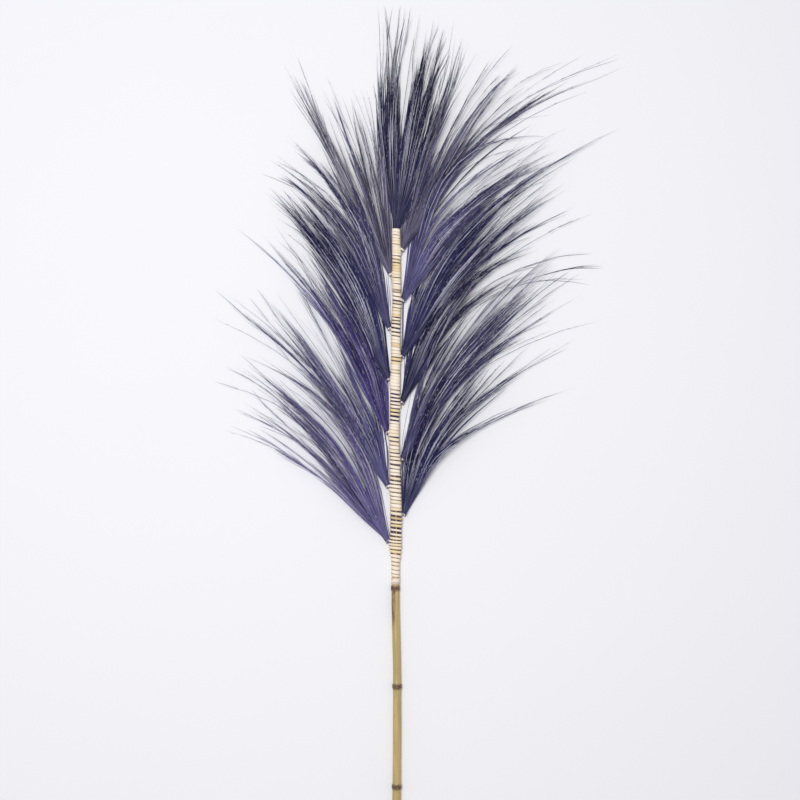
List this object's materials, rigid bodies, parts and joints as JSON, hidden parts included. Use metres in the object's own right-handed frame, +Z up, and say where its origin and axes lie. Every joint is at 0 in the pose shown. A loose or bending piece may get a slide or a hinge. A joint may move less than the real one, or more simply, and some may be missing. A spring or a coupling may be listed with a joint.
{
  "type": "bundle of rayung grass",
  "caption": "Spray of dyed grass tufts lashed with wound raffia along a bamboo cane, lying flat as a cut dried stem.",
  "frame": {"origin": "middle of the underside of the whole spray, on the surface it lies on", "axes": "+Y along the stem towards the tips of the tufts, +X across the spray, +Z up from the surface"},
  "size_m": [0.622, 1.301, 0.0365],
  "materials": {
    "cane": "satin",
    "raffia": "matte",
    "collar": "matte",
    "grass_violet": "matte",
    "grass_slate": "matte",
    "grass_purple": "matte",
    "grass_indigo": "matte",
    "grass_plum": "matte",
    "grass_charcoal": "matte",
    "grass_navy": "matte"
  },
  "bodies": {
    "root": {"cane": "cane", "raffia_winding": "raffia", "raffia_collar": "collar", "tuft_left_1": "grass_violet", "tie_left_1": "raffia", "tuft_left_2": "grass_slate", "tie_left_2": "raffia", "tuft_left_3": "grass_purple", "tie_left_3": "raffia", "tuft_left_4": "grass_indigo", "tie_left_4": "raffia", "tuft_left_5": "grass_plum", "tie_left_5": "raffia", "tuft_left_6": "grass_charcoal", "tie_left_6": "raffia", "tuft_top": "grass_navy", "tuft_right_6": "grass_charcoal", "tie_right_6": "raffia", "tuft_right_5": "grass_slate", "tie_right_5": "raffia", "tuft_right_4": "grass_indigo", "tie_right_4": "raffia", "tuft_right_3": "grass_navy", "tie_right_3": "raffia", "tuft_right_2": "grass_plum", "tie_right_2": "raffia", "tuft_right_1": "grass_charcoal", "tie_right_1": "raffia"}
  },
  "joints": []
}
